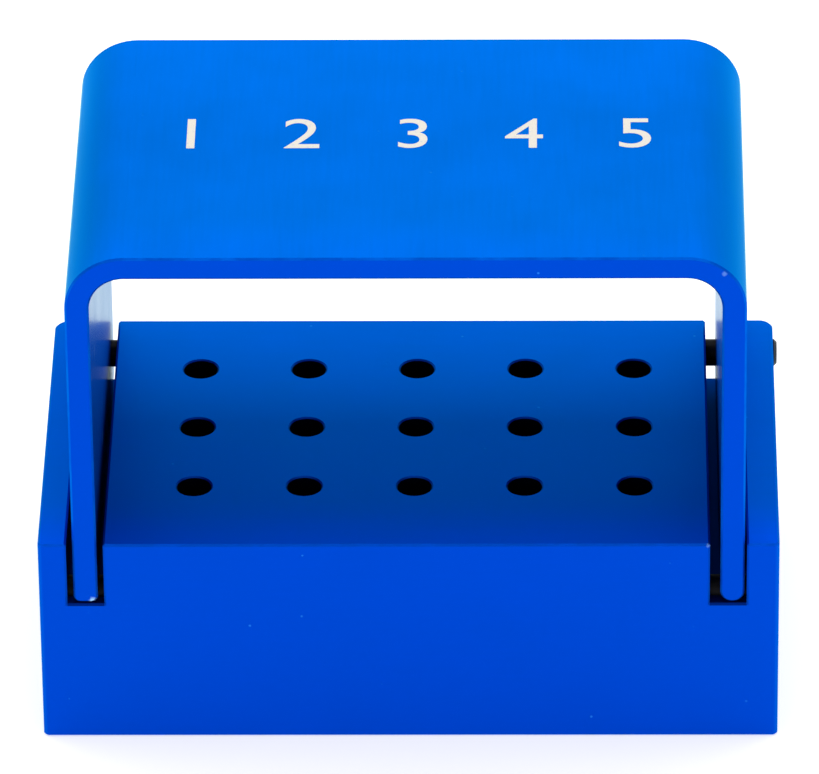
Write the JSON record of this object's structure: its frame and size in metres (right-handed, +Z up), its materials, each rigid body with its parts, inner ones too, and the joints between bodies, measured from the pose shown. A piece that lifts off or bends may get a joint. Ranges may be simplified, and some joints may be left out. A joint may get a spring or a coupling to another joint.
{
  "type": "dental bur block with hinged cover",
  "caption": "Small aluminium bench block with a grid of blind holes for dental burs, and a bent cover on two side hinges that closes over them.",
  "frame": {"origin": "middle of the block's flat underside", "axes": "+Z up; +X to the right and -Y towards the viewer, on the side where the cover lifts; the hinge runs along X at the back"},
  "size_m": [0.0537, 0.0311, 0.0406],
  "materials": {
    "blue_anodised_block": "satin blue anodised",
    "blue_anodised_cover": "satin blue anodised",
    "blackened_steel": "black oxide"
  },
  "bodies": {
    "base": {"base_block": "blue_anodised_block", "left_hinge_pin": "blackened_steel", "right_hinge_pin": "blackened_steel", "left_stop_pin": "blackened_steel", "right_stop_pin": "blackened_steel"},
    "cover": {"cover": "blue_anodised_cover"}
  },
  "joints": [
    {"name": "cover_hinge", "type": "hinge", "parent": "base", "child": "cover", "pos_m": [0, 0.01325, 0.015], "axis": [-1, 0, 0], "range_deg": [0, 112]}
  ]
}
